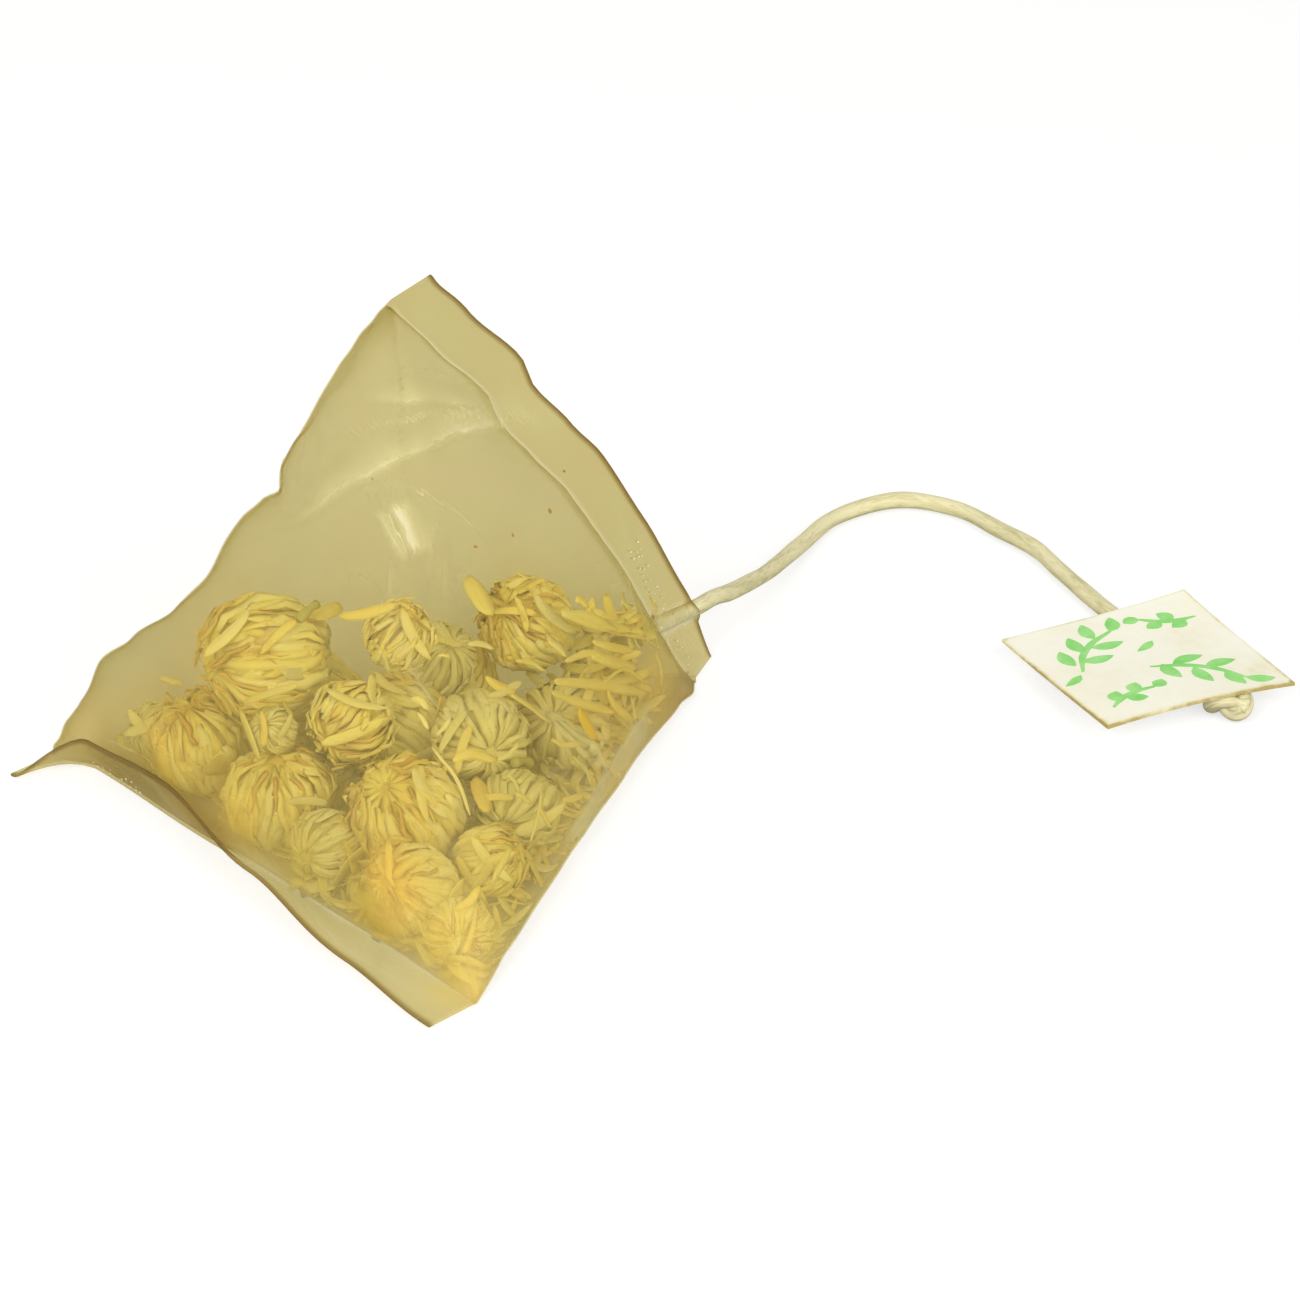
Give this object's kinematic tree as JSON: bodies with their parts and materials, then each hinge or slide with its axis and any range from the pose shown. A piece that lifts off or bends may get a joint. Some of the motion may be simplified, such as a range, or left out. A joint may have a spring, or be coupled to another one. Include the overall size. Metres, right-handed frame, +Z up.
{
  "type": "pyramid tea bag",
  "caption": "Pyramid bag of sealed see-through film, filled with dried flower buds, with a soft thread from its corner to a square paper tag that lies on the table.",
  "frame": {"origin": "middle of the bag's flat base, the centroid of its three corners, on the table", "axes": "+Z up; +X from the base's middle towards the corner where the thread comes out; +Y along the seam that lies on the table"},
  "size_m": [0.0995, 0.0746, 0.0503],
  "materials": {
    "sealed_film": "fine see-through woven film, satin",
    "cotton_thread": "soft matte cotton",
    "knotted_thread": "soft matte cotton",
    "tag_paper": "matte uncoated card",
    "dried_flower": "matte dried petals",
    "dried_petal": "matte dried petal",
    "dried_stem": "matte dried stem"
  },
  "bodies": {
    "root": {"bag_film": "sealed_film", "flower_head_01": "dried_flower", "flower_head_02": "dried_flower", "flower_head_03": "dried_flower", "flower_head_04": "dried_flower", "flower_head_05": "dried_flower", "flower_head_06": "dried_flower", "flower_head_07": "dried_flower", "flower_head_08": "dried_flower", "flower_head_09": "dried_flower", "flower_head_10": "dried_flower", "flower_head_11": "dried_flower", "flower_head_12": "dried_flower", "flower_head_13": "dried_flower", "flower_head_14": "dried_flower", "flower_head_15": "dried_flower", "flower_head_16": "dried_flower", "flower_head_17": "dried_flower", "flower_head_18": "dried_flower", "flower_head_19": "dried_flower", "flower_head_20": "dried_flower", "flower_head_21": "dried_flower", "loose_petal_01": "dried_petal", "loose_petal_02": "dried_petal", "loose_petal_03": "dried_petal", "loose_petal_04": "dried_petal", "loose_petal_05": "dried_petal", "loose_petal_06": "dried_petal", "loose_petal_07": "dried_petal", "loose_petal_08": "dried_petal", "loose_stem_09": "dried_stem", "loose_stem_10": "dried_stem", "tag": "tag_paper", "thread": "cotton_thread", "thread_knot": "knotted_thread"}
  },
  "joints": []
}
